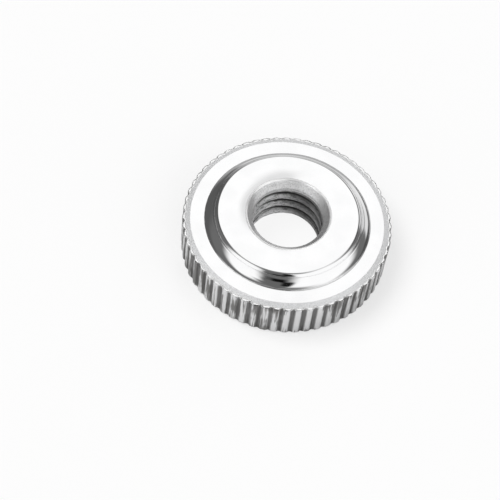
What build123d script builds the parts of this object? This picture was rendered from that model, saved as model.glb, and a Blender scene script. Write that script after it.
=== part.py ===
from build123d import *

import os
from math import cos, pi, radians, sin, sqrt

# Knurled thumb nut, turned in one piece from round bar. A straight-knurled rim
# is chamfered at both ends, a raised collar runs down to the flat ring in a
# cove, and a tapped hole goes right through.
# Millimetres, +Z along the hole. The origin is the centre of the flat seat face.

# Rim
rim_diameter = 30.0  # over the crests of the knurl
rim_height = 6.4  # seat face to ring face
rim_chamfer_width = 1.1  # in from the crests
rim_chamfer_drop = 0.45  # down from the ring face, and up from the seat face

# Straight knurl of module 0.5
knurl_pitch = 1.571  # crest to crest round the rim
groove_depth = 0.42
crest_width = 0.64  # between the mouths of two grooves, before the edges are rounded
crest_edge_radius = 0.3

# Ring face, cove and collar, from the rim inwards
ring_face_width = 2.0
cove_width = 1.45
cove_foot_angle = 9.0  # between the cove and the ring face where they meet
collar_height = 1.6  # ring face to collar face
collar_edge_break = 0.3  # small 45 degree chamfer round the collar face

# Tapped hole
thread_diameter = 12.0
thread_pitch = 1.75
collar_countersink_width = 0.8  # out from the wall of the hole
collar_countersink_depth = 1.0
collar_hole_edge_break = 0.15  # where the countersink meets the collar face
seat_countersink_width = 0.8
seat_countersink_depth = 0.45

# The turned section, worked out from the sizes above
rim_radius = rim_diameter / 2
ring_face_radius = rim_radius - rim_chamfer_width
cove_foot_radius = ring_face_radius - ring_face_width
collar_radius = cove_foot_radius - cove_width
overall_height = rim_height + collar_height

# The crests of a metric inside thread stand 5/8 of its sharp height inside its diameter
thread_sharp_height = thread_pitch * sqrt(3) / 2
hole_radius = thread_diameter / 2 - 5 / 8 * thread_sharp_height
collar_countersink_radius = hole_radius + collar_countersink_width
seat_countersink_radius = hole_radius + seat_countersink_width

# Both chamfer cones run out past the crests, through the air round the rim
run_out = 0.5
run_out_radius = rim_radius + run_out
run_out_drop = rim_chamfer_drop * (rim_chamfer_width + run_out) / rim_chamfer_width

# The two flanks of a groove keep their slope from its root out past the crests
tooth_count = round(pi * rim_diameter / knurl_pitch)
groove_mouth_width = pi * rim_diameter / tooth_count - crest_width
groove_end_width = groove_mouth_width * (groove_depth + run_out) / groove_depth

os.makedirs("parts", exist_ok=True)

# One groove of the knurl across the rim, with +X pointing outwards from the crests
with BuildSketch() as groove:
    with BuildLine():
        Polyline(
            (-groove_depth, 0),
            (run_out, -groove_end_width / 2),
            (run_out, groove_end_width / 2),
            close=True,
        )
    make_face()

with BuildPart() as thumb_nut:
    # Round bar with the knurl along its whole length and a crest on each axis
    with BuildSketch() as knurled_bar:
        Circle(rim_radius)
        with PolarLocations(rim_radius, tooth_count, start_angle=180 / tooth_count):
            add(groove.sketch, mode=Mode.SUBTRACT)
        fillet(knurled_bar.vertices().group_by(SortBy.DISTANCE)[-1], crest_edge_radius)
    extrude(amount=overall_height)

    # What is left of the bar once it is turned, chamfered, bored and countersunk
    with BuildSketch(Plane.XZ):
        with BuildLine():
            Polyline(
                (cove_foot_radius, rim_height),
                (ring_face_radius, rim_height),
                (run_out_radius, rim_height - run_out_drop),
                (run_out_radius, run_out_drop),
                (ring_face_radius, 0),
                (seat_countersink_radius, 0),
                (hole_radius, seat_countersink_depth),
                (hole_radius, overall_height - collar_countersink_depth),
                (collar_countersink_radius, overall_height - collar_hole_edge_break),
                (collar_countersink_radius + collar_hole_edge_break, overall_height),
                (collar_radius - collar_edge_break, overall_height),
                (collar_radius, overall_height - collar_edge_break),
            )
            TangentArc(
                (cove_foot_radius, rim_height),
                (collar_radius, overall_height - collar_edge_break),
                tangent=(-cos(radians(cove_foot_angle)), sin(radians(cove_foot_angle))),
            )
        make_face()
    revolve(axis=Axis.Z, mode=Mode.INTERSECT)

thumb_nut.part.label = "thumb_nut"
export_step(thumb_nut.part, "parts/thumb_nut.step")
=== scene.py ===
"""A knurled thumb nut, turned in one piece and bright nickel plated, on a pale studio floor.

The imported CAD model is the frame. One dressed piece stands for its single solid: a section line is turned
round the axis and knurled by one geometry node tree, and a second tree cuts the tapped hole and closes it.
Lengths are in metres and angles in degrees, unless a name says otherwise.
"""

import logging
import math
from dataclasses import dataclass, field
from enum import Enum
from functools import reduce
from typing import Union

import bmesh
import bpy
from mathutils import Matrix, Vector


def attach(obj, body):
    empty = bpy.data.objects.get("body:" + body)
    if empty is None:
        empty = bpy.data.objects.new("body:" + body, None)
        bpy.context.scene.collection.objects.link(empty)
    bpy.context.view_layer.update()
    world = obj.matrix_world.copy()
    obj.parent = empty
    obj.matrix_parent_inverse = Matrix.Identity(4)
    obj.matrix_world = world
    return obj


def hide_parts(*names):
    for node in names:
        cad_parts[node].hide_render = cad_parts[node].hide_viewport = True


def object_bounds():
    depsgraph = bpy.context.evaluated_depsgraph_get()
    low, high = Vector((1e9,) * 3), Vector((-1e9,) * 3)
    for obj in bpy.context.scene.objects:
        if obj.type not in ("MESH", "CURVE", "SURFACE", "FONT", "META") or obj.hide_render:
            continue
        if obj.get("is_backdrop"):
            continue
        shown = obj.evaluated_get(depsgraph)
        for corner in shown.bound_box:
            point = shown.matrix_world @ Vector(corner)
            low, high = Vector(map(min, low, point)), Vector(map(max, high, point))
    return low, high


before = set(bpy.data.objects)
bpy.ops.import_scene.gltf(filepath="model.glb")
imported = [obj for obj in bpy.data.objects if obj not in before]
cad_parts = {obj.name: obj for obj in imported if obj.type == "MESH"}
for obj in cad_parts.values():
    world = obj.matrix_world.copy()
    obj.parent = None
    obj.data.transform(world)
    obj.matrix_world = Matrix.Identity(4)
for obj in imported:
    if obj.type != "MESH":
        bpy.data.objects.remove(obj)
cad_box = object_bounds()

log = logging.getLogger("thumb_nut")

MM = 0.001
FULL_TURN = 2 * math.pi
WHITE = (1.0, 1.0, 1.0, 1.0)
SEAT_MOUTH_RADIUS = 5.853 * MM
COLLAR_MOUTH_RADIUS = 5.834 * MM
MERGE_DISTANCE = 0.001 * MM
NEARLY_NOTHING = 1e-6
FINE_DETAIL = 3.0
FINE_ROUGH = 0.6
Band = tuple[float, float]
Colour = tuple[float, float, float, float]
Socket = bpy.types.NodeSocket
Value = Union[float, int, Socket]


def emptied(owner: bpy.types.ID) -> bpy.types.NodeTree:
    """Gives a new material's or world's node tree, with its first nodes taken out.

    Args:
        owner: the material or world.

    Returns:
        The empty tree.
    """
    owner.use_nodes = True
    owner.node_tree.nodes.clear()
    return owner.node_tree


def labelled(owner: object, *names: str) -> dict[str, float]:
    """Lists some of an object's sizes, under the names that a node tree shows for them."""
    return {name.replace("_", " ").capitalize(): getattr(owner, name) for name in names}


def placed(name: str, data: bpy.types.ID) -> bpy.types.Object:
    """Makes an object of some data and puts it into the scene.

    Args:
        name: the object's name.
        data: its mesh, lamp or camera data.

    Returns:
        The object.
    """
    made = bpy.data.objects.new(name, data)
    bpy.context.scene.collection.objects.link(made)
    return made


def heading(azimuth: float, elevation: float) -> Vector:
    """Gives the direction at an azimuth, 0 away from the camera and positive to its right, and a height.

    Args:
        azimuth: in degrees.
        elevation: in degrees over the horizon.

    Returns:
        The direction, one long.
    """
    turn, height = math.radians(azimuth), math.radians(elevation)
    level = math.cos(height)
    return Vector((math.sin(turn) * level, math.cos(turn) * level, math.sin(height)))


class Surface(Enum):
    """How a turned or cut surface was left, as its share of grain: 0 is polished and 1 is as tapped."""

    POLISHED = 0.0
    EDGE = 0.2
    KNURLED = 0.5
    CHAMFERED = 0.7
    COUNTERSUNK = 0.85
    TAPPED = 1.0


# ---------------------------------------------------------------- node trees


class TreeWriter:
    """Adds nodes to one node tree and joins their sockets."""

    def __init__(self, tree: bpy.types.NodeTree) -> None:
        """Keeps the shader or geometry node tree that the nodes go into."""
        self.tree = tree

    def feed(self, socket: Socket, value: object) -> None:
        """Gives a socket a plain value, or joins another node's output to it.

        Args:
            socket: the input socket.
            value: a number, colour or vector, or an output socket.
        """
        if isinstance(value, Socket):
            self.tree.links.new(value, socket)
        else:
            socket.default_value = value

    def put(self, kind: str, inputs: Union[dict, None] = None, **settings: object) -> bpy.types.Node:
        """Adds one node, with its properties set and its inputs fed.

        Args:
            kind: the node's type name.
            inputs: what to feed to its inputs, by their names or numbers.
            settings: properties to set on it.

        Returns:
            The new node.
        """
        made = self.tree.nodes.new(kind)
        for name, value in settings.items():
            setattr(made, name, value)
        for name, value in (inputs or {}).items():
            self.feed(made.inputs[name], value)
        return made

    def math(self, operation: str, *values: Value) -> Socket:
        """Works out one operation of a Math node on one to three values."""
        return self.put("ShaderNodeMath", dict(enumerate(values)), operation=operation).outputs[0]

    def add(self, *values: Value) -> Socket:
        """Adds up two or more values."""
        return reduce(lambda total, value: self.math("ADD", total, value), values)

    def times(self, *values: Value) -> Socket:
        """Multiplies two or more values."""
        return reduce(lambda product, value: self.math("MULTIPLY", product, value), values)

    def minus(self, value: Value, taken: Value) -> Socket:
        """Takes one value from another."""
        return self.math("SUBTRACT", value, taken)

    def over(self, value: Value, divisor: Value) -> Socket:
        """Divides one value by another."""
        return self.math("DIVIDE", value, divisor)

    def root_of_squares(self, *values: Value) -> Socket:
        """Gives the square root of the sum of the values' squares."""
        return self.math("SQRT", self.add(*(self.times(value, value) for value in values)))

    def clamp(self, value: Value, low: Value = 0.0, high: Value = 1.0) -> Socket:
        """Keeps a value between two limits."""
        return self.math("MINIMUM", self.math("MAXIMUM", value, low), high)

    def softened(self, value: Value, radius: Value) -> Socket:
        """Gives the larger of a value and zero, with the corner between them rounded."""
        return self.times(self.add(self.root_of_squares(value, radius), value), 0.5)

    def rise(
        self, value: Value, start: Value, end: Value, low: float = 0.0, high: float = 1.0
    ) -> Socket:
        """Goes smoothly from a low to a high level, as a value goes from a start to an end."""
        given = {"Value": value, "From Min": start, "From Max": end, "To Min": low, "To Max": high}
        return self.put("ShaderNodeMapRange", given, interpolation_type="SMOOTHSTEP").outputs["Result"]

    def vector(self, x: Value, y: Value, z: Value) -> Socket:
        """Makes a vector of three values."""
        return self.put("ShaderNodeCombineXYZ", {"X": x, "Y": y, "Z": z}).outputs[0]

    def parts(self, vector: Socket) -> tuple[Socket, ...]:
        """Splits a vector into its three values."""
        return tuple(self.put("ShaderNodeSeparateXYZ", {0: vector}).outputs)

    def noise(
        self, vector: Socket, scale: Value, detail: float = 2.0, rough: float = 0.5
    ) -> Socket:
        """Reads a noise pattern, from 0 to 1, at a place, with so many finer layers, each so strong."""
        given = {"Vector": vector, "Scale": scale, "Detail": detail, "Roughness": rough}
        return self.put("ShaderNodeTexNoise", given, normalize=True).outputs["Fac"]

    def blend(self, factor: Value, first: object, second: object) -> Socket:
        """Mixes two colours."""
        colours = {"Factor": factor, 6: first, 7: second}
        return self.put("ShaderNodeMix", colours, data_type="RGBA").outputs[2]

    def between(self, factor: Value, first: Value, second: Value) -> Socket:
        """Mixes two plain values."""
        levels = {"Factor": factor, 2: first, 3: second}
        return self.put("ShaderNodeMix", levels, data_type="FLOAT").outputs[0]


class ShapeTree(TreeWriter):
    """A geometry node tree with named inputs for its sizes."""

    def __init__(
        self, name: str, counts: dict[str, int], sizes: dict[str, float], material: bpy.types.Material
    ) -> None:
        """Makes the tree, its inputs and its output.

        Args:
            name: the tree's name.
            counts: its whole-number inputs.
            sizes: its other inputs.
            material: the material that the result gets.
        """
        super().__init__(bpy.data.node_groups.new(name, "GeometryNodeTree"))
        self.tree.is_modifier = True
        self.material = material
        face = self.tree.interface
        face.new_socket(name="Geometry", in_out="INPUT", socket_type="NodeSocketGeometry")
        face.new_socket(name="Geometry", in_out="OUTPUT", socket_type="NodeSocketGeometry")
        self.settings: dict[str, Value] = {}
        for kind, values in (("NodeSocketInt", counts), ("NodeSocketFloat", sizes)):
            for label, value in values.items():
                socket = face.new_socket(name=label, in_out="INPUT", socket_type=kind)
                self.settings[socket.identifier] = value
        self.inputs = self.put("NodeGroupInput").outputs

    def named(self, name: str, kind: str = "FLOAT") -> Socket:
        """Reads a named attribute of the geometry."""
        made = self.put("GeometryNodeInputNamedAttribute", {"Name": name}, data_type=kind)
        return made.outputs["Attribute"]

    def sample(self, value: Socket, index: Value, kind: str = "FLOAT") -> Socket:
        """Reads a value at one point of the incoming geometry."""
        given = {"Geometry": self.inputs["Geometry"], "Value": value, "Index": index}
        return self.put("GeometryNodeSampleIndex", given, data_type=kind, domain="POINT").outputs["Value"]

    def sheet(self, columns: Value, rows: Value) -> tuple[Socket, ...]:
        """Makes a grid to be wrapped round the axis.

        Args:
            columns: faces round the axis.
            rows: points along each column.

        Returns:
            The grid, and each point's column and row.
        """
        made = self.put("GeometryNodeMeshGrid", {"Vertices X": self.add(columns, 1), "Vertices Y": rows})
        index = self.put("GeometryNodeInputIndex").outputs[0]
        column = self.math("FLOOR", self.over(self.add(index, 0.5), rows))
        row = self.minus(index, self.times(column, rows))
        return made.outputs["Mesh"], column, row

    def wrap(self, grid: Socket, angle: Value, radius: Value, height: Value, **kept: Value) -> Socket:
        """Puts each point of a grid at its place round the axis, and stores values on it for the material.

        Args:
            grid: the grid.
            angle: the angle round the axis.
            radius: the distance from the axis.
            height: the height along the axis.
            kept: the values to store, under their names.

        Returns:
            The wrapped grid.
        """
        across = self.times(radius, self.math("COSINE", angle))
        away = self.times(radius, self.math("SINE", angle))
        given = {"Geometry": grid, "Position": self.vector(across, away, height)}
        shape = self.put("GeometryNodeSetPosition", given).outputs["Geometry"]
        for name, value in kept.items():
            given = {"Geometry": shape, "Name": name, "Value": value}
            stored = self.put("GeometryNodeStoreNamedAttribute", given, data_type="FLOAT", domain="POINT")
            shape = stored.outputs["Geometry"]
        return shape

    def close(self, *geometries: Socket) -> None:
        """Joins the parts, merges what meets, and ends the tree in plain faces with the material.

        Args:
            geometries: the parts of the result.
        """
        join = self.put("GeometryNodeJoinGeometry")
        for geometry in geometries:
            self.feed(join.inputs[0], geometry)
        steps = {
            "GeometryNodeMergeByDistance": {"Distance": self.inputs["Merge distance"]},
            "GeometryNodeSetShadeSmooth": {},
            "GeometryNodeRealizeInstances": {},
            "GeometryNodeSetMaterial": {"Material": self.material},
        }
        done = join.outputs[0]
        for kind, inputs in steps.items():
            done = self.put(kind, {"Geometry": done, **inputs}).outputs[0]
        self.put("NodeGroupOutput", {"Geometry": done})

    def attach(self, piece: bpy.types.Object) -> None:
        """Puts the tree on an object, with its inputs set before it is first evaluated.

        Args:
            piece: the object.
        """
        modifier = piece.modifiers.new(self.tree.name, "NODES")
        modifier.node_group = self.tree
        for identifier, value in self.settings.items():
            modifier[identifier] = value


# ---------------------------------------------------------------- finish


Shares = dict[Surface, Socket]


@dataclass(frozen=True)
class BrightNickel:
    """Bright nickel plate over turned steel, duller where the metal was cut and not polished, with painted
    shade in the grooves and on two sides of the hole, and painted reflections on the knurl.
    """

    plate: Colour = (0.925, 0.925, 0.928, 1.0)
    plate_shade: Colour = (0.895, 0.896, 0.9, 1.0)
    cut_plate: Colour = (0.93, 0.93, 0.935, 1.0)
    burnished_plate: Colour = (0.97, 0.97, 0.97, 1.0)
    satin_plate: Colour = (0.87, 0.873, 0.88, 1.0)
    satin_shade: Colour = (0.7, 0.705, 0.71, 1.0)
    tapped_plate: Colour = (0.36, 0.36, 0.36, 1.0)
    # Painted shade: the dark colour laid into the grooves of the knurl and the thread, and on two sides of
    # the hole.
    recess: Colour = (0.1, 0.098, 0.096, 1.0)
    knurl_reflection_shade: Colour = (0.24, 0.236, 0.232, 1.0)
    polished_roughness: float = 0.06
    cut_roughness: float = 0.6
    burnished_metal: float = 0.4
    satin_metal: float = 0.35
    countersunk_metal: float = 0.5
    countersunk_speckle: float = 0.5
    tear_size: float = 0.2 * MM
    tear_stretch: float = 0.22
    tear_share: float = 0.65
    tear_band: Band = (0.46, 0.62)
    pit_band: Band = (0.44, 0.64)
    satin_band: Band = (0.38, 0.62)
    # Painted shade on the hole's walls: how dark it is on the thread and on the countersinks, and where it
    # lies.
    side_shade: float = 0.68
    countersunk_side_shade: float = 0.6
    far_side_shade: float = 0.4
    far_side_shade_band: Band = (4.3 * MM, 5.3 * MM)
    countersunk_shade_slant: float = -0.5
    countersunk_shade_band: Band = (0.8 * MM, 5.5 * MM)
    side_shade_slant: float = 0.35
    side_shade_band: Band = (0.0 * MM, 4.6 * MM)
    surface_sharpness: float = 8.0
    cloud_size: float = 4.0 * MM
    cloud_detail: float = 4.0
    cloud_band: Band = (0.35, 0.65)
    wear_band: Band = (0.2, 0.7)
    least_wear: float = 0.35
    rough_band: Band = (0.3, 0.7)
    cloud_rough: Band = (0.9, 1.15)
    speckle_rough: Band = (0.92, 1.08)
    grain_size: float = 0.16 * MM
    grain_depth: float = 0.02 * MM
    turning_radius: float = 12.0 * MM
    turning_length: float = 1.6 * MM
    turning_width: float = 0.13 * MM
    turning_depth: float = 0.0012 * MM
    crown_depth: float = 0.16 * MM
    crown_inner: float = 6.15 * MM
    crown_outer: float = 9.2 * MM
    crown_floor: float = 7.5 * MM
    # Painted reflections on the knurl: streaks along the teeth and broad patches, dark between bright
    # streaks.
    streak_size: float = 0.3 * MM
    streak_stretch: float = 0.04
    streak_band: Band = (0.38, 0.52)
    patch_size: float = 5.0 * MM
    patch_share: float = 1.0

    def material(self) -> bpy.types.Material:
        """Builds the material.

        Returns:
            The material, for the whole nut.
        """
        made = bpy.data.materials.new("bright_nickel_plate")
        tree = TreeWriter(emptied(made))
        place = tree.put("ShaderNodeTexCoord").outputs["Object"]
        grain = tree.put("ShaderNodeAttribute", attribute_name="grain").outputs["Fac"]
        recess = tree.put("ShaderNodeAttribute", attribute_name="recess").outputs["Fac"]
        clouds = tree.noise(place, 1 / self.cloud_size, self.cloud_detail)
        speckle = tree.noise(place, 1 / self.grain_size, FINE_DETAIL, FINE_ROUGH)
        tooled = [surface for surface in Surface if surface is not Surface.POLISHED]
        shares = {surface: self.share(tree, grain, surface) for surface in tooled}

        colour = tree.blend(tree.rise(clouds, *self.cloud_band), self.plate, self.plate_shade)
        worn = tree.rise(speckle, *self.wear_band, 1.0, self.least_wear)
        colour = tree.blend(tree.clamp(tree.times(grain, worn)), colour, self.cut_plate)
        colour = self.tooled(tree, place, speckle, shares, colour)
        # Painted shade: two sides of the hole's walls, then the deeper part of the grooves of the knurl and
        # the thread.
        colour = tree.blend(self.painted_side_shade(tree, place, shares), colour, self.recess)
        colour = tree.blend(recess, colour, self.recess)
        dull = tree.add(
            tree.times(shares[Surface.EDGE], 1.0 - self.burnished_metal),
            tree.times(shares[Surface.CHAMFERED], 1.0 - self.satin_metal),
            tree.times(shares[Surface.COUNTERSUNK], 1.0 - self.countersunk_metal),
        )
        rougher = self.cut_roughness - self.polished_roughness
        rough = tree.times(
            tree.math("MULTIPLY_ADD", grain, rougher, self.polished_roughness),
            tree.rise(clouds, *self.rough_band, *self.cloud_rough),
            tree.rise(speckle, *self.rough_band, *self.speckle_rough),
        )
        bumps = {"Strength": 1.0, "Distance": 1.0, "Height": self.relief(tree, place, speckle, grain)}
        normal = tree.put("ShaderNodeBump", bumps).outputs["Normal"]
        metallic = tree.minus(1.0, dull)
        given = {"Base Color": colour, "Metallic": metallic, "Roughness": rough, "Normal": normal}
        plate = tree.put("ShaderNodeBsdfPrincipled", given)
        tree.put("ShaderNodeOutputMaterial", {"Surface": plate.outputs[0]})
        return made

    def tooled(
        self, tree: TreeWriter, place: Socket, speckle: Socket, shares: Shares, colour: Socket
    ) -> Socket:
        """Colours the knurled, burnished, satin, tapped and countersunk surfaces, and paints dark
        reflections with bright streaks on the knurled ones.

        Args:
            tree: the material's tree.
            place: the spot's place.
            speckle: the fine speckle at the spot.
            shares: how far the spot belongs to each kind of surface.
            colour: the colour of the plain plate there.

        Returns:
            The colour.
        """
        x, y, z = tree.parts(place)
        # Painted reflections on the knurl: dark, with bright streaks along the teeth and broad patches.
        along = tree.vector(x, y, tree.times(z, self.streak_stretch))
        streaks = tree.noise(along, 1 / self.streak_size, FINE_DETAIL, FINE_ROUGH)
        patches = tree.minus(tree.noise(place, 1 / self.patch_size), 0.5)
        bright = tree.math("MULTIPLY_ADD", patches, self.patch_share, streaks)
        painted_streak_shade = tree.times(shares[Surface.KNURLED], tree.rise(bright, *self.streak_band, 1.0, 0.0))
        colour = tree.blend(painted_streak_shade, colour, self.knurl_reflection_shade)
        colour = tree.blend(shares[Surface.EDGE], colour, self.burnished_plate)
        speckled = tree.blend(tree.rise(speckle, *self.satin_band), self.satin_plate, self.satin_shade)
        colour = tree.blend(shares[Surface.CHAMFERED], colour, speckled)
        torn = tree.vector(tree.times(x, self.tear_stretch), tree.times(y, self.tear_stretch), z)
        tears = tree.times(tree.noise(torn, 1 / self.tear_size, FINE_DETAIL, FINE_ROUGH), self.tear_share)
        tears = tree.add(tears, tree.times(speckle, 1.0 - self.tear_share))
        scored = tree.times(shares[Surface.TAPPED], tree.rise(tears, *self.tear_band))
        colour = tree.blend(scored, colour, self.tapped_plate)
        pits = tree.rise(speckle, *self.pit_band)
        pitted = tree.times(shares[Surface.COUNTERSUNK], pits, self.countersunk_speckle)
        return tree.blend(pitted, colour, self.tapped_plate)

    def painted_side_shade(self, tree: TreeWriter, place: Socket, shares: Shares) -> Socket:
        """Works out how thick the painted shade lies in the hole, which is thicker on two sides.

        Args:
            tree: the material's tree.
            place: the spot's place.
            shares: how far the spot belongs to each kind of surface.

        Returns:
            The painted shade's share, from 0 to 1.
        """
        x, y, _ = tree.parts(place)
        shaded_thread = tree.rise(tree.math("MULTIPLY_ADD", y, self.side_shade_slant, x), *self.side_shade_band)
        slanted = tree.math("MULTIPLY_ADD", y, self.countersunk_shade_slant, x)
        shaded_countersink = tree.rise(slanted, *self.countersunk_shade_band)
        far_shaded_countersink = tree.rise(tree.times(x, -1.0), *self.far_side_shade_band)
        return tree.add(
            tree.times(shares[Surface.TAPPED], shaded_thread, self.side_shade),
            tree.times(shares[Surface.COUNTERSUNK], shaded_countersink, self.countersunk_side_shade),
            tree.times(shares[Surface.COUNTERSUNK], far_shaded_countersink, self.far_side_shade),
        )

    def relief(self, tree: TreeWriter, place: Socket, speckle: Socket, grain: Socket) -> Socket:
        """Works out the fine relief: the collar face's fall to the hole, the grain and the turning marks.

        Args:
            tree: the material's tree.
            place: the spot's place.
            speckle: the fine speckle at the spot.
            grain: the spot's share of grain.

        Returns:
            The relief's height.
        """
        x, y, z = tree.parts(place)
        radius = tree.root_of_squares(x, y)
        turns = self.turning_radius / self.turning_length
        around = tree.over(turns, tree.math("MAXIMUM", radius, MM))
        across = tree.times(tree.add(radius, z), 1 / self.turning_width)
        turned = tree.vector(tree.times(x, around), tree.times(y, around), across)
        marks = tree.noise(turned, 1.0, FINE_DETAIL, FINE_ROUGH)
        on_top = tree.math("GREATER_THAN", z, self.crown_floor)
        inside = tree.minus(self.crown_outer, radius)
        inward = tree.clamp(tree.over(inside, self.crown_outer - self.crown_inner))
        return tree.add(
            tree.times(on_top, inward, inward, -self.crown_depth),
            tree.times(speckle, grain, self.grain_depth),
            tree.times(marks, self.turning_depth),
        )

    def share(self, tree: TreeWriter, grain: Socket, surface: Surface) -> Socket:
        """Gives 1 where the grain is that of one kind of surface, and 0 on the others."""
        off = tree.math("ABSOLUTE", tree.minus(grain, surface.value))
        return tree.clamp(tree.math("MULTIPLY_ADD", off, -self.surface_sharpness, 1.0))


# ---------------------------------------------------------------- the nut


@dataclass(frozen=True)
class SectionPoint:
    """One point of the turned section, and how the knurl works on it."""

    radius: float
    height: float
    knurl: float = 0.0
    run: float = 0.0
    lip: float = 0.0
    grain: float = Surface.POLISHED.value
    stride: int = 1


@dataclass(frozen=True)
class Corner:
    """One corner of the section before its edge is softened."""

    radius: float
    height: float
    softness: float = 0.0
    surface: Surface = Surface.POLISHED


@dataclass
class TurnedSection:
    """The half section of the nut, from the seat end of the hole round the rim to its collar end."""

    rim_radius: float = 15.0 * MM
    rim_height: float = 6.4 * MM
    chamfer_width: float = 1.1 * MM
    chamfer_drop: float = 0.45 * MM
    ring_face_width: float = 2.0 * MM
    cove_width: float = 1.45 * MM
    cove_foot_angle: float = 9.0
    overall_height: float = 8.0 * MM
    collar_edge_break: float = 0.3 * MM
    seat_mouth_radius: float = SEAT_MOUTH_RADIUS
    hole_edge_radius: float = 5.994 * MM
    hole_lip_reach: float = 0.22 * MM
    collar_mouth_radius: float = COLLAR_MOUTH_RADIUS
    collar_mouth_depth: float = 0.17 * MM
    lip_steps: int = 6
    edge_softness: float = 0.07 * MM
    collar_edge_softness: float = 0.2 * MM
    rim_edge_softness: float = 0.09 * MM
    held_width: float = 0.04 * MM
    cove_steps: int = 26
    edge_steps: int = 3
    side_steps: int = 10
    lip_width: float = 0.38 * MM
    lip_edge: float = 0.15 * MM
    lip_rows_mm: tuple[float, ...] = (0.8, 0.6, 0.48, 0.4, 0.36, 0.29, 0.22, 0.17, 0.13)
    side_reach: float = 0.2 * MM
    side_least_height: float = 1.0 * MM
    chamfer_least_width: float = 0.3 * MM
    plain_stride: int = 4

    @property
    def ring_face_radius(self) -> float:
        """Where the ring face meets the rim's chamfer."""
        return self.rim_radius - self.chamfer_width

    @property
    def cove_foot_radius(self) -> float:
        """Where the cove runs out on the ring face."""
        return self.ring_face_radius - self.ring_face_width

    @property
    def collar_radius(self) -> float:
        """The collar's outer radius, above the cove."""
        return self.cove_foot_radius - self.cove_width

    def cove(self) -> list[Corner]:
        """Gives the points of the cove's arc, from its foot up to the collar.

        Returns:
            The points between its two ends.
        """
        foot = Vector((self.cove_foot_radius, self.rim_height))
        top = Vector((self.collar_radius, self.overall_height - self.collar_edge_break))
        slope = math.radians(self.cove_foot_angle)
        inward = Vector((math.sin(slope), math.cos(slope)))
        chord = top - foot
        size = chord.length_squared / (2 * chord.dot(inward))
        centre = foot + inward * size
        start = foot - centre
        sweep = start.angle_signed(top - centre)
        found = []
        for step in range(1, self.cove_steps):
            turn = Matrix.Rotation(-sweep * step / self.cove_steps, 2)
            point = centre + turn @ start
            found.append(Corner(point.x, point.y))
        return found

    def corners(self) -> list[Corner]:
        """Lists the corners of the section.

        Returns:
            The corners, in order.
        """
        ring, foot, top = self.ring_face_radius, self.cove_foot_radius, self.overall_height
        seat_edge, collar_edge = self.chamfer_drop, self.rim_height - self.chamfer_drop
        broken = self.collar_radius - self.collar_edge_break
        mouth = self.seat_mouth_radius
        soft, rim_soft = self.edge_softness, self.rim_edge_softness
        return [
            Corner(mouth, 0.0, 0.0, Surface.EDGE),
            Corner(mouth + self.held_width, 0.0),
            Corner(ring, 0.0, soft),
            Corner(self.rim_radius, seat_edge, rim_soft, Surface.KNURLED),
            Corner(self.rim_radius, collar_edge, rim_soft, Surface.KNURLED),
            Corner(ring, self.rim_height, soft),
            Corner(foot, self.rim_height, soft),
            *self.cove(),
            Corner(self.collar_radius, top - self.collar_edge_break, soft),
            Corner(broken, top, self.collar_edge_softness),
            *self.hole_lip(),
        ]

    def hole_lip(self) -> list[Corner]:
        """Gives the rounded lip where the collar face turns down into the countersink.

        Returns:
            The points from the face down to the mouth.
        """
        top = self.overall_height
        edge = Vector((self.hole_edge_radius, top))
        start = edge + Vector((self.hole_lip_reach, 0.0))
        end = Vector((self.collar_mouth_radius, top - self.collar_mouth_depth))
        found = [Corner(start.x + self.held_width, top)]
        for step in range(self.lip_steps + 1):
            share = step / self.lip_steps
            point = start * (1 - share) ** 2 + edge * 2 * share * (1 - share) + end * share ** 2
            surface = Surface.EDGE if step else Surface.POLISHED
            if step == self.lip_steps:
                surface = Surface.COUNTERSUNK
            found.append(Corner(point.x, point.y, 0.0, surface))
        return found

    def softened(self, before: Corner, here: Corner, after: Corner) -> list[Corner]:
        """Rounds one corner, and holds the flats beside it with a row of their own.

        Args:
            before: the corner before it.
            here: the corner.
            after: the corner after it.

        Returns:
            The points that take its place.
        """
        if not here.softness:
            return [here]
        place = Vector((here.radius, here.height))
        back = (Vector((before.radius, before.height)) - place).normalized()
        ahead = (Vector((after.radius, after.height)) - place).normalized()
        reach, held = here.softness, here.softness + self.held_width
        beside = Surface.KNURLED if here.surface is Surface.KNURLED else Surface.POLISHED
        found = [(place + back * held, beside), (place + back * reach, beside)]
        for step in range(1, self.edge_steps):
            share = step / self.edge_steps
            point = place + back * reach * (1 - share) ** 2 + ahead * reach * share ** 2
            found.append((point, here.surface))
        found += [(place + ahead * reach, beside), (place + ahead * held, beside)]
        return [Corner(point.x, point.y, 0.0, surface) for point, surface in found]

    def between(self, start: Corner, end: Corner) -> list[Corner]:
        """Adds rows to the rim's chamfers and side, where the knurl needs them.

        Args:
            start: the corner before.
            end: the corner after.

        Returns:
            The points between them.
        """
        inner, outer = sorted((start.radius, end.radius))
        found = []
        tall = abs(end.height - start.height) > self.side_least_height
        if inner > self.rim_radius - self.side_reach and tall:
            for step in range(1, self.side_steps):
                share = step / self.side_steps
                height = start.height + (end.height - start.height) * share
                found.append(Corner(self.rim_radius, height, 0.0, Surface.KNURLED))
        elif inner > self.ring_face_radius and outer - inner > self.chamfer_least_width:
            slope = self.chamfer_drop / self.chamfer_width
            upper = start.height > self.rim_height / 2
            for row in self.lip_rows_mm:
                radius = self.rim_radius - row * MM
                drop = (radius - self.ring_face_radius) * slope
                height = self.rim_height - drop if upper else drop
                found.append(Corner(radius, height, 0.0, Surface.CHAMFERED))
            if start.radius > end.radius:
                found.reverse()
        return found

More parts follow.
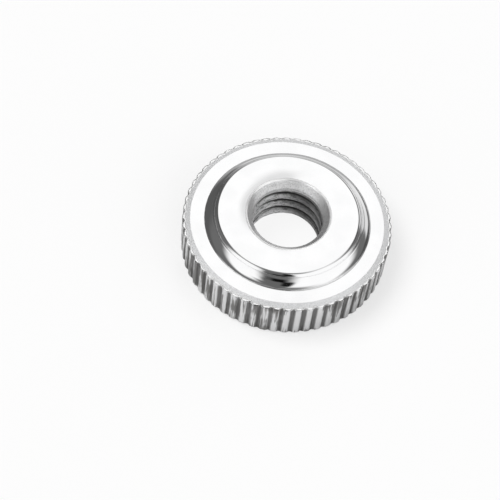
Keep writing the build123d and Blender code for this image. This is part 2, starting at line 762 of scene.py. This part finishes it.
    def worked(self, corner: Corner) -> SectionPoint:
        """Says how the knurl works on one point.

        Args:
            corner: the point.

        Returns:
            The point with its share of the groove, its lip and its surface.
        """
        share = (corner.radius - self.ring_face_radius) / self.chamfer_width
        if share <= NEARLY_NOTHING:
            grain = corner.surface.value
            return SectionPoint(corner.radius, corner.height, grain=grain, stride=self.plain_stride)
        middle = self.rim_height / 2
        run = max(-1.0, min(1.0, (corner.height - middle) / (middle - self.chamfer_drop)))
        short = self.rim_radius - corner.radius
        if short < NEARLY_NOTHING:
            return SectionPoint(corner.radius, corner.height, 1.0, run, 0.0, Surface.KNURLED.value)
        lip = max(0.0, 1.0 - short / self.lip_width)
        surface = Surface.EDGE if lip else Surface.CHAMFERED
        if short < self.lip_edge:
            surface = Surface.KNURLED
        return SectionPoint(corner.radius, corner.height, share, run, lip, surface.value)

    def points(self) -> list[SectionPoint]:
        """Works out the whole section.

        Returns:
            Its points in order.
        """
        corners = self.corners()
        eased: list[Corner] = [corners[0]]
        for before, here, after in zip(corners, corners[1:], corners[2:]):
            eased += self.softened(before, here, after)
        eased.append(corners[-1])
        rows: list[Corner] = []
        for start, end in zip(eased, eased[1:]):
            rows.append(start)
            rows += self.between(start, end)
        rows.append(eased[-1])
        return [self.worked(corner) for corner in rows]


@dataclass
class StraightKnurl:
    """The straight knurl: V grooves across the rim, each a little different, with raised lips."""

    teeth: int = 60
    columns_per_tooth: int = 16
    groove_depth: float = 0.32 * MM
    crest_width: float = 0.6 * MM
    crest_rounding: float = 0.06 * MM
    root_rounding: float = 0.1 * MM
    depth_spread: float = 0.14
    pitch_spread: float = 0.05 * MM
    ragged_depth: float = 0.05 * MM
    ragged_size: float = 0.75 * MM
    ragged_stretch: float = 0.28
    ragged_from: float = 0.35
    ragged_gain: float = 2.0
    lip_height: float = 0.168 * MM
    lip_spread: float = 0.5
    # Painted shade in the knurl's grooves: how it rises with the groove's depth, and how dark it gets.
    recess_band: Band = (0.1, 0.45)
    recess_share: float = 0.88
    full_knurl: float = 0.9999
    rounding_guard: float = 0.001
    seed: int = 11

    def tree(self, section: TurnedSection, rows: int, material: bpy.types.Material) -> ShapeTree:
        """Builds the tree that turns the section round the axis and knurls the rim.

        Args:
            section: the section's sizes.
            rows: how many points the section has.
            material: the nut's material.

        Returns:
            The tree, ready for an object that holds the section line.
        """
        counts = {
            "Rows": rows,
            "Teeth": self.teeth,
            "Columns a tooth": self.columns_per_tooth,
            "Seed": self.seed,
        }
        sizes = {
            "Rim radius": section.rim_radius,
            "Chamfer slope": section.chamfer_drop / section.chamfer_width,
            **labelled(self, "groove_depth", "crest_width", "crest_rounding", "root_rounding"),
            **labelled(self, "depth_spread", "pitch_spread", "lip_height", "lip_spread"),
            **labelled(self, "ragged_depth", "ragged_size", "ragged_stretch"),
            "Merge distance": MERGE_DISTANCE,
        }
        made = ShapeTree("turned_and_knurled", counts, sizes, material)
        given = made.inputs
        columns = made.times(given["Teeth"], given["Columns a tooth"])
        grid, column, row = made.sheet(columns, given["Rows"])

        stride = made.sample(made.named("stride", "INT"), row, "INT")
        column = made.times(made.math("FLOOR", made.over(made.add(column, 0.5), stride)), stride)
        angle = made.over(made.times(column, FULL_TURN), columns)
        line = made.put("GeometryNodeInputPosition").outputs[0]
        radius, _, height = made.parts(made.sample(line, row, "FLOAT_VECTOR"))
        worked = (made.sample(made.named(name), row) for name in ("knurl", "run", "lip", "grain"))
        knurl, run, lip, grain = worked

        cut = self.cut(made, column)
        where = made.vector(
            made.times(given["Rim radius"], made.math("COSINE", angle)),
            made.times(given["Rim radius"], made.math("SINE", angle)),
            made.times(height, given["Ragged stretch"]),
        )
        uneven = made.noise(where, made.over(1.0, given["Ragged size"]), FINE_DETAIL, FINE_ROUGH)
        bitten = made.clamp(made.minus(uneven, self.ragged_from))
        ragged = made.times(bitten, given["Ragged depth"], self.ragged_gain)
        give = made.times(knurl, made.add(cut, ragged))
        varied = made.math("MULTIPLY_ADD", made.minus(uneven, 0.5), given["Lip spread"], 1.0)
        raised = made.times(lip, given["Lip height"], varied)
        radius = made.minus(radius, give)
        height = made.add(
            height,
            made.times(run, given["Chamfer slope"], give),
            made.times(made.math("SIGN", run), raised),
        )
        # Painted shade: darkens the deeper part of each groove on the rim's side, stored for the material.
        on_side = made.math("GREATER_THAN", knurl, self.full_knurl)
        groove = made.clamp(made.over(cut, given["Groove depth"]))
        recess = made.times(made.rise(groove, *self.recess_band), on_side, self.recess_share)
        made.close(made.wrap(grid, angle, radius, height, grain=grain, recess=recess))
        return made

    def cut(self, made: ShapeTree, column: Value) -> Socket:
        """Works out how deep the knurl is cut: a V with a rounded root and rounded crests for each tooth.

        Args:
            made: the tree.
            column: the column, counted round the rim.

        Returns:
            The depth under the crests.
        """
        given = made.inputs
        turned = made.over(column, given["Columns a tooth"])
        tooth = made.math("FLOOR", made.add(turned, self.rounding_guard))
        inside = made.minus(made.minus(turned, tooth), 0.5)
        tooth = made.math("MODULO", tooth, given["Teeth"])
        pitch = made.over(made.times(given["Rim radius"], FULL_TURN), given["Teeth"])
        fade = made.minus(1.0, made.times(inside, inside, 4.0))
        shift = made.times(self.chance(made, tooth, 1), given["Pitch spread"], fade)
        off_root = made.add(made.times(inside, pitch), shift)
        mouth = made.times(made.minus(pitch, given["Crest width"]), 0.5)
        flank = made.over(given["Groove depth"], mouth)
        deeper = made.math("MULTIPLY_ADD", self.chance(made, tooth, 2), given["Depth spread"], 1.0)
        depth = made.times(given["Groove depth"], deeper)
        root = made.root_of_squares(off_root, given["Root rounding"])
        return made.softened(made.minus(depth, made.times(flank, root)), given["Crest rounding"])

    def chance(self, made: ShapeTree, tooth: Value, offset: int) -> Socket:
        """Draws a number from -1 to 1 for each tooth.

        Args:
            made: the tree.
            tooth: the tooth's number.
            offset: tells this draw from the others.

        Returns:
            The number.
        """
        draw = made.put("FunctionNodeRandomValue", data_type="FLOAT")
        floats = [socket for socket in draw.inputs if socket.type == "VALUE" and socket.enabled]
        floats[0].default_value, floats[1].default_value = -1.0, 1.0
        made.feed(draw.inputs["ID"], tooth)
        made.feed(draw.inputs["Seed"], made.add(made.inputs["Seed"], offset))
        return next(socket for socket in draw.outputs if socket.enabled)


@dataclass
class TappedHole:
    """The right-hand M12 thread in the hole, with a countersink at each end."""

    nominal_radius: float = 6.0 * MM
    pitch: float = 1.75 * MM
    crest_share: float = 0.38
    root_share: float = 0.08
    start_height: float = 0.54 * MM
    columns: int = 240
    rows_per_pitch: int = 32
    seat_mouth_radius: float = SEAT_MOUTH_RADIUS
    collar_mouth_radius: float = COLLAR_MOUTH_RADIUS
    collar_mouth_height: float = 7.83 * MM
    collar_countersink_foot: float = 7.0 * MM
    seat_countersink_depth: float = 0.45 * MM
    run_out: float = 0.3 * MM
    turns_below: int = 2
    ledge: float = 0.06 * MM
    ledge_reach: float = 2.5
    land: float = 0.55 * MM
    land_blend: float = 0.8
    first_line_from: float = 5.3 * MM
    first_line_to: float = 5.9 * MM
    line_depths: Band = (0.24, 0.08)
    line_blend: float = 0.2
    phase_guard: float = 0.0001

    @property
    def crest_radius(self) -> float:
        """The thread's inner radius: its crests stand 5/8 of the sharp height inside its size."""
        return self.nominal_radius - 5 / 8 * self.pitch * math.sqrt(3) / 2

    def tree(self, material: bpy.types.Material) -> ShapeTree:
        """Builds the tree that adds the hole's wall to the turned outside and closes the nut.

        Args:
            material: the nut's material.

        Returns:
            The tree.
        """
        first_row = self.start_height - self.turns_below * self.pitch
        rows = math.ceil((self.collar_mouth_height - first_row) / self.pitch * self.rows_per_pitch) + 1
        counts = {"Columns": self.columns, "Rows": rows, "Rows a pitch": self.rows_per_pitch}
        sizes = {
            **labelled(self, "crest_radius", "pitch", "crest_share", "run_out", "ledge", "land"),
            **labelled(self, "first_line_from", "first_line_to"),
            **labelled(self, "collar_countersink_foot", "seat_countersink_depth"),
            "Root radius": self.nominal_radius,
            "Flank share": (1 - self.crest_share - self.root_share) / 2,
            "First row": first_row,
            "Top": self.collar_mouth_height,
            "Collar countersink width": self.collar_mouth_radius - self.crest_radius,
            "Seat countersink width": self.seat_mouth_radius - self.crest_radius,
            "Tapped grain": Surface.TAPPED.value,
            "Countersunk grain": Surface.COUNTERSUNK.value,
            "Merge distance": MERGE_DISTANCE,
        }
        made = ShapeTree("tapped_hole", counts, sizes, material)
        given = made.inputs
        grid, column, row = made.sheet(given["Columns"], given["Rows"])
        turn = made.over(column, given["Columns"])
        climbed = made.over(row, given["Rows a pitch"])
        height = made.math("MULTIPLY_ADD", given["Pitch"], made.add(climbed, turn), given["First row"])
        height = made.clamp(height, 0.0, given["Top"])

        below = made.minus(given["Collar countersink foot"], height)
        deep = made.minus(given["Root radius"], given["Crest radius"])
        cut = self.groove(made, climbed)
        top_fade = made.rise(below, given["Ledge"], made.times(given["Ledge"], self.ledge_reach))
        seat_fade = made.rise(height, 0.0, given["Run out"])
        cut = made.times(cut, top_fade, seat_fade)
        thread = made.math("MULTIPLY_ADD", cut, deep, given["Crest radius"])
        cones = self.cones(made, height)
        radius = made.math("MAXIMUM", thread, cones)
        # Painted shade in the thread's grooves: the deeper part of each groove is darkened, and more of it
        # in the top turn under the countersink.
        first_line = made.rise(height, given["First line from"], given["First line to"], *self.line_depths)
        sunk = made.over(made.minus(radius, cones), deep)
        recess = made.rise(sunk, first_line, made.add(first_line, self.line_blend))
        land_start = made.times(given["Land"], self.land_blend)
        countersunk = made.rise(below, land_start, given["Land"], 1.0, 0.0)
        change = made.minus(given["Countersunk grain"], given["Tapped grain"])
        grain = made.math("MULTIPLY_ADD", countersunk, change, given["Tapped grain"])

        angle = made.times(turn, FULL_TURN)
        wall = made.wrap(grid, angle, radius, height, grain=grain, recess=recess)
        made.close(given["Geometry"], wall)
        return made

    def groove(self, made: ShapeTree, climbed: Value) -> Socket:
        """Works out the thread's form along one turn.

        Args:
            made: the tree.
            climbed: how many pitches the spot lies up its column.

        Returns:
            The depth of the groove, from 0 at the crest to 1 at the root.
        """
        given = made.inputs
        phase = made.math("FRACT", made.add(climbed, self.phase_guard))
        rising = made.over(made.minus(phase, given["Crest share"]), given["Flank share"])
        falling = made.over(made.minus(1.0, phase), given["Flank share"])
        return made.clamp(made.math("MINIMUM", rising, falling))

    def cones(self, made: ShapeTree, height: Value) -> Socket:
        """Works out how wide the hole is before it is tapped, with its two countersinks.

        Args:
            made: the tree.
            height: the height in the hole.

        Returns:
            The radius.
        """
        given = made.inputs
        collar_depth = made.minus(given["Top"], given["Collar countersink foot"])
        collar_rise = made.over(given["Collar countersink width"], collar_depth)
        collar_cone = made.times(made.minus(height, given["Collar countersink foot"]), collar_rise)
        seat_rise = made.over(given["Seat countersink width"], given["Seat countersink depth"])
        seat_cone = made.times(made.minus(given["Seat countersink depth"], height), seat_rise)
        opening = made.math("MAXIMUM", made.math("MAXIMUM", collar_cone, seat_cone), 0.0)
        return made.add(given["Crest radius"], opening)


@dataclass
class ThumbNut:
    """The whole nut: its turned and knurled outside, and its tapped hole."""

    section: TurnedSection = field(default_factory=TurnedSection)
    knurl: StraightKnurl = field(default_factory=StraightKnurl)
    hole: TappedHole = field(default_factory=TappedHole)
    finish: BrightNickel = field(default_factory=BrightNickel)

    def section_line(self, points: list[SectionPoint]) -> bpy.types.Object:
        """Makes the object that holds the section line and what the knurl does at each point.

        Args:
            points: the section's points.

        Returns:
            The object.
        """
        mesh = bpy.data.meshes.new("knurled_thumb_nut")
        edges = [(index, index + 1) for index in range(len(points) - 1)]
        mesh.from_pydata([(point.radius, 0.0, point.height) for point in points], edges, [])
        for name in ("knurl", "run", "lip", "grain"):
            layer = mesh.attributes.new(name, "FLOAT", "POINT")
            layer.data.foreach_set("value", [getattr(point, name) for point in points])
        stride = mesh.attributes.new("stride", "INT", "POINT")
        stride.data.foreach_set("value", [point.stride for point in points])
        return placed("knurled_thumb_nut", mesh)

    def build(self) -> bpy.types.Object:
        """Builds the nut as one closed mesh and puts it in the place of the CAD solid.

        Returns:
            The finished piece.
        """
        material = self.finish.material()
        points = self.section.points()
        piece = self.section_line(points)
        self.knurl.tree(self.section, len(points), material).attach(piece)
        self.hole.tree(material).attach(piece)
        self.make_plain(piece)
        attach(piece, "root")
        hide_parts("thumb_nut")
        return piece

    def make_plain(self, piece: bpy.types.Object) -> None:
        """Turns what the trees make into a plain mesh with its faces outwards, and takes the trees off.

        Args:
            piece: the object.
        """
        depsgraph = bpy.context.evaluated_depsgraph_get()
        mesh = bpy.data.meshes.new_from_object(piece.evaluated_get(depsgraph))
        piece.modifiers.clear()
        piece.data = mesh
        work = bmesh.new()
        work.from_mesh(mesh)
        bmesh.ops.recalc_face_normals(work, faces=work.faces)
        open_edges = sum(1 for edge in work.edges if not edge.is_manifold)
        triangles = sum(len(face.verts) - 2 for face in work.faces)
        volume = work.calc_volume() / MM ** 3
        log.info("%s: %d triangles, %d open edges, %.1f mm3", piece.name, triangles, open_edges, volume)
        work.to_mesh(mesh)
        work.free()


# ---------------------------------------------------------------- the studio


@dataclass(frozen=True)
class Card:
    """A dark or pale card in the studio, by the direction in which the nut sees it."""

    name: str
    azimuth: float
    half_width: float
    lowest: float
    highest: float
    level: float
    softness: float = 8.0


@dataclass
class Studio:
    """The floor, the white surroundings with their cards, and the lamp."""

    floor_size: float = 6.0
    floor_colour: float = 0.97
    floor_shade: float = 0.01
    floor_grain: float = 40.0
    floor_lift: float = 0.62
    hole_floor_lift: float = 0.88
    contact_gap: float = 0.2 * MM
    cards_from: float = 22.0 * MM
    cards_full: float = 36.0 * MM
    near_floor_level: float = 0.8
    hole_floor_radius: float = 9.0 * MM
    hole_floor_level: float = 0.65
    surround: float = 0.15
    lamp_irradiance: float = 1.62
    lamp_size: float = 34.0
    lamp_azimuth: float = -75.0
    lamp_elevation: float = 62.0
    cards: tuple[Card, ...] = (
        Card("ceiling", 0.0, 180.0, 81.0, 100.0, 0.24),
        Card("far sweep", 22.0, 37.0, -90.0, 28.0, 0.7),
        Card("sweep top", 0.0, 24.0, 10.0, 43.0, 0.42, 10.0),
        Card("round the top light", 8.0, 22.0, 44.0, 70.0, 0.82, 6.0),
        Card("sweep top middle", 29.0, 9.0, 25.0, 46.0, 0.08),
        Card("sweep top right", 49.0, 15.0, 35.0, 56.0, 0.08),
        Card("sweep strip", 39.0, 10.0, 0.0, 23.0, 0.87),
        Card("sweep strip right", 54.0, 8.0, 0.0, 31.0, 0.8),
        Card("sweep foot", 56.0, 12.0, -40.0, 2.0, 0.36),
        Card("top light", 8.0, 10.0, 44.0, 60.0, 1.08, 6.0),
        Card("top light left", -4.0, 12.0, 33.0, 70.0, 1.08, 6.0),
        Card("overhead left", -32.0, 22.0, 65.0, 76.0, 0.75, 9.0),
        Card("overhead right", 75.0, 40.0, 60.0, 76.0, 0.88, 18.0),
        Card("right softbox", 129.0, 40.0, -90.0, 70.0, 1.08, 20.0),
        Card("left softbox", -126.0, 25.0, -90.0, 69.0, 1.06, 18.0),
        Card("left table edge", -126.0, 34.0, -23.0, -4.0, 0.68),
        Card("dark drape", -42.0, 20.0, -8.0, 62.0, 0.1, 20.0),
        Card("back drape", -160.0, 22.0, 52.0, 80.0, 0.14, 16.0),
        Card("grey drape", 188.0, 20.0, 24.0, 90.0, 0.13, 9.0),
        Card("grey drape foot", 191.0, 13.0, -2.0, 30.0, 0.08, 10.0),
        Card("black flag", 174.5, 7.0, 30.0, 64.0, 0.008, 7.0),
        Card("black flag foot", 187.0, 8.5, 8.0, 33.0, 0.004),
        Card("table edge", 191.0, 17.0, -12.0, -1.0, 0.27),
        Card("under the table", 188.0, 14.0, -28.0, -12.0, 0.14),
    )

    def level(self, tree: TreeWriter, azimuth: Value, elevation: Value) -> Socket:
        """Works out how bright the surroundings are in one direction from the nut.

        Args:
            tree: the tree to add the nodes to.
            azimuth: the direction's azimuth in radians, 0 away from the camera and positive to the right.
            elevation: its height over the horizon in radians.

        Returns:
            The brightness.
        """
        level: Value = self.surround
        for card in self.cards:
            soft = math.radians(card.softness) / 2
            turned = tree.minus(azimuth, math.radians(card.azimuth))
            off = tree.math("ABSOLUTE", tree.math("WRAP", turned, math.pi, -math.pi))
            half = math.radians(card.half_width)
            across = 1.0 if card.half_width >= 180.0 else tree.rise(off, half - soft, half + soft, 1.0, 0.0)
            low, high = math.radians(card.lowest), math.radians(card.highest)
            up = tree.rise(elevation, high - soft, high + soft, 1.0, 0.0)
            down = tree.rise(elevation, low - soft, low + soft)
            level = tree.between(tree.times(across, up, down), level, card.level)
        return level

    def surroundings(self) -> None:
        """Makes the world: white to the camera, and white with its cards to the nut and the floor."""
        world = bpy.data.worlds.new("studio")
        bpy.context.scene.world = world
        tree = TreeWriter(emptied(world))
        x, y, z = tree.parts(tree.put("ShaderNodeTexCoord").outputs["Generated"])
        level = self.level(tree, tree.math("ARCTAN2", x, y), tree.math("ARCSINE", z))
        camera = tree.put("ShaderNodeLightPath").outputs["Is Camera Ray"]
        shining = {"Color": WHITE, "Strength": tree.between(camera, level, 1.0)}
        background = tree.put("ShaderNodeBackground", shining)
        tree.put("ShaderNodeOutputWorld", {"Surface": background.outputs[0]})

    def floor(self) -> bpy.types.Object:
        """Makes the pale floor that the nut lies on, with painted light and shade in how the camera and the
        nut's reflections see it.

        Returns:
            The floor, marked as stage.
        """
        mesh = bpy.data.meshes.new("studio_floor")
        reach = self.floor_size / 2
        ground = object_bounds()[0].z
        corners = [(-reach, -reach), (reach, -reach), (reach, reach), (-reach, reach)]
        mesh.from_pydata([(*corner, ground) for corner in corners], [], [(0, 1, 2, 3)])
        made = placed("studio_floor", mesh)
        material = bpy.data.materials.new("pale_floor")
        tree = TreeWriter(emptied(material))
        place = tree.put("ShaderNodeTexCoord").outputs["Object"]
        pale = tree.noise(place, self.floor_grain, FINE_DETAIL)
        colour = self.floor_colour
        shades = [(level, level, level, 1.0) for level in (colour, colour - self.floor_shade)]
        paper = tree.put("ShaderNodeBsdfDiffuse", {"Color": tree.blend(pale, *shades)})
        path = tree.put("ShaderNodeLightPath").outputs
        glossy = path["Is Glossy Ray"]
        x, y, _ = tree.parts(place)
        far = tree.root_of_squares(x, y)
        under_hole = tree.math("LESS_THAN", far, self.hole_floor_radius)
        # Painted light: the camera sees the floor lifted towards white, and more under the hole, where the
        # nut shades it.
        lift = tree.math("MULTIPLY_ADD", under_hole, self.hole_floor_lift - self.floor_lift, self.floor_lift)
        lifted = self.glowing(tree, paper.outputs[0], 1.0, tree.times(path["Is Camera Ray"], lift))
        # Painted shade and light in the nut's reflections: the floor is dimmed near the nut, glows under the
        # hole, and far off shows the cards.
        dimmed = self.glowing(tree, lifted, 0.0, tree.times(glossy, 1.0 - self.near_floor_level))
        lit = self.glowing(tree, dimmed, self.hole_floor_level, tree.times(glossy, under_hole))
        around = self.level(tree, tree.math("ARCTAN2", x, y), 0.0)
        far_off = tree.rise(far, self.cards_from, self.cards_full)
        seen = self.glowing(tree, lit, around, tree.times(glossy, far_off))
        touching = tree.times(glossy, tree.math("LESS_THAN", path["Ray Length"], self.contact_gap))
        under = tree.put("ShaderNodeNewGeometry").outputs["Backfacing"]
        clear = tree.put("ShaderNodeBsdfTransparent").outputs[0]
        hidden = tree.math("MAXIMUM", under, touching)
        choose = tree.put("ShaderNodeMixShader", {0: hidden, 1: seen, 2: clear})
        tree.put("ShaderNodeOutputMaterial", {"Surface": choose.outputs[0]})
        mesh.materials.append(material)
        made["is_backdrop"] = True
        return made

    def glowing(
        self, tree: TreeWriter, shader: Socket, level: Value, share: Value
    ) -> Socket:
        """Mixes a shader with a share of plain glow of one level."""
        glow = tree.put("ShaderNodeEmission", {"Strength": level}).outputs[0]
        return tree.put("ShaderNodeMixShader", {0: share, 1: shader, 2: glow}).outputs[0]

    def lamp(self) -> bpy.types.Object:
        """Makes the soft lamp that gives the floor its level and the nut its shadow.

        Returns:
            The lamp.
        """
        light = bpy.data.lights.new("soft_lamp", "SUN")
        light.energy = self.lamp_irradiance
        light.angle = math.radians(self.lamp_size)
        made = placed("soft_lamp", light)
        towards = heading(self.lamp_azimuth, self.lamp_elevation)
        made.rotation_euler = towards.to_track_quat("Z", "Y").to_euler()
        made.visible_glossy = False
        return made


@dataclass
class Viewpoint:
    """Where the camera stands: over the near side, looking down on the collar, leaning a little."""

    stand: tuple[float, float, float] = (-17.4 * MM, -120.8 * MM, 177.85 * MM)
    aim_azimuth: float = 5.976
    aim_depression: float = 56.527
    lean: float = 7.664
    lens: float = 108.0
    sensor: float = 36.0
    nearest: float = 0.01
    farthest: float = 50.0

    def camera(self) -> bpy.types.Object:
        """Makes the camera and gives it to the scene.

        Returns:
            The camera.
        """
        data = bpy.data.cameras.new("camera")
        data.lens = self.lens
        data.sensor_width = self.sensor
        data.sensor_fit = "HORIZONTAL"
        data.clip_start = self.nearest
        data.clip_end = self.farthest
        data.dof.use_dof = False
        made = placed("camera", data)
        low, high = cad_box
        middle = (low + high) / 2
        back = -heading(self.aim_azimuth, -self.aim_depression)
        turn = back.to_track_quat("Z", "Y").to_matrix().to_4x4()
        lean = Matrix.Rotation(math.radians(self.lean), 4, "Z")
        made.matrix_world = Matrix.Translation(middle + Vector(self.stand)) @ turn @ lean
        bpy.context.scene.camera = made
        return made


def main() -> None:
    """Builds the nut, the studio and the camera in order, and reports each."""
    logging.basicConfig(level=logging.INFO, format="%(name)s: %(message)s")
    bpy.context.scene.view_settings.view_transform = "Standard"
    nut = ThumbNut().build()
    log.info("built %s", nut.name)
    studio = Studio()
    studio.surroundings()
    log.info("built %s and %s", studio.floor().name, studio.lamp().name)
    log.info("placed the %s", Viewpoint().camera().name)


if __name__ == "__main__":
    main()
